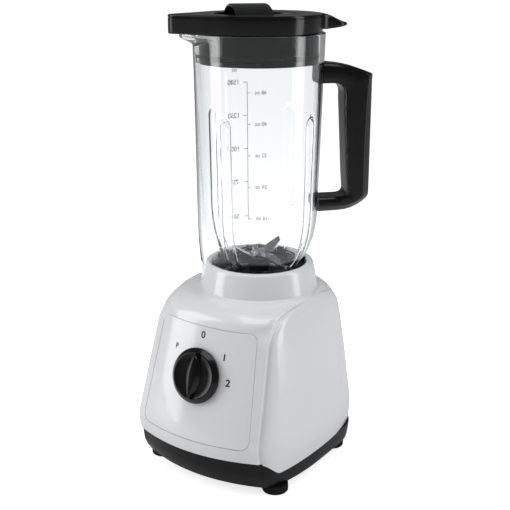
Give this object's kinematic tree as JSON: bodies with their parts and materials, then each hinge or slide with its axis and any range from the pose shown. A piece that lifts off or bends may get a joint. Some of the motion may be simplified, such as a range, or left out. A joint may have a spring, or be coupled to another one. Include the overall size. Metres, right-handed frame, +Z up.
{
  "type": "countertop blender",
  "caption": "Countertop blender: flared white motor base with a front knob, clear lidded jug with spout, loop handle and blade unit, and a measuring cap.",
  "frame": {"origin": "the drive axis, where it meets the plane that the four feet stand on", "axes": "+Z up along the drive axis, -Y towards the front face with the knob, +X to the right of a person facing the front"},
  "size_m": [0.166, 0.1902, 0.41],
  "materials": {
    "white_plastic": "glossy moulded white",
    "black_gloss": "glossy moulded black",
    "black_tray": "satin moulded black",
    "black_matte": "fine-textured black",
    "clear_plastic": "clear, polished",
    "rubber": "matte",
    "grey_rubber": "matte silicone",
    "steel": "machined",
    "blade_steel": "ground and polished",
    "zinc": "zinc plated",
    "laminations": "stacked steel sheet",
    "copper": "enamelled wire",
    "bronze": "sintered",
    "bracket_alloy": "die-cast",
    "carbon": "pressed carbon",
    "switch_plastic": "moulded cream",
    "nylon": "natural nylon"
  },
  "bodies": {
    "base": {"housing": "white_plastic", "control_panel": "white_plastic", "base_tray": "black_tray", "feet": "rubber", "base_screws": "zinc", "cord_gland": "rubber", "switch_body": "switch_plastic", "switch_nut": "zinc", "stator_core": "laminations", "field_coils": "copper", "upper_bracket": "bracket_alloy", "lower_bracket": "bracket_alloy", "motor_screws": "zinc", "motor_mounts": "rubber", "motor_bearings": "bronze", "brush_holders": "bronze", "brushes": "carbon", "interlock_switch": "black_matte", "interlock_spring": "steel"},
    "rotor": {"motor_shaft": "steel", "armature_core": "laminations", "armature_windings": "copper", "commutator": "bronze", "fan": "black_matte", "drive_coupling": "black_matte"},
    "knob": {"knob": "black_gloss", "switch_spindle": "steel"},
    "interlock": {"interlock_pin": "nylon"},
    "jug": {"jug": "clear_plastic", "jug_handle": "black_gloss", "handle_screws": "zinc", "blade_collar": "black_matte", "collar_gasket": "grey_rubber", "blade_base": "black_matte", "blade_bushes": "bronze", "shaft_seal": "rubber"},
    "blade_unit": {"blade_spindle": "steel", "lower_blade": "blade_steel", "upper_blade": "blade_steel", "blade_washers": "steel", "blade_nut": "steel", "driven_coupling": "rubber"},
    "lid": {"lid": "black_gloss", "lid_seal": "rubber"},
    "cap": {"measuring_cap": "black_gloss"}
  },
  "joints": [
    {"name": "motor_spin", "type": "hinge", "parent": "base", "child": "rotor", "pos_m": [0, 0, 0.1], "axis": [0, 0, 1], "continuous": true},
    {"name": "knob_turn", "type": "hinge", "parent": "base", "child": "knob", "pos_m": [0, -0.09671, 0.104], "axis": [0, -0.9563, 0.2924], "range_deg": [-95, 50]},
    {"name": "interlock_press", "type": "slide", "parent": "base", "child": "interlock", "axis": [0, 0, 1], "range_m": [-0.0025, 0], "stiffness_N_per_m": 400, "springref_m": 0.001, "deforming": ["interlock_spring"]},
    {"name": "jug_lift", "type": "slide", "parent": "base", "child": "jug", "axis": [0, 0, 1], "range_m": [0, 0.05]},
    {"name": "blade_spin", "type": "hinge", "parent": "jug", "child": "blade_unit", "pos_m": [0, 0, 0.19], "axis": [0, 0, 1], "continuous": true},
    {"name": "lid_lift", "type": "slide", "parent": "jug", "child": "lid", "axis": [0, 0, 1], "range_m": [0, 0.045]},
    {"name": "cap_lift", "type": "slide", "parent": "lid", "child": "cap", "axis": [0, 0, 1], "range_m": [0, 0.04]}
  ],
  "couplings": [
    {"joint": "blade_spin", "follows": "motor_spin", "ratio": 1}
  ]
}
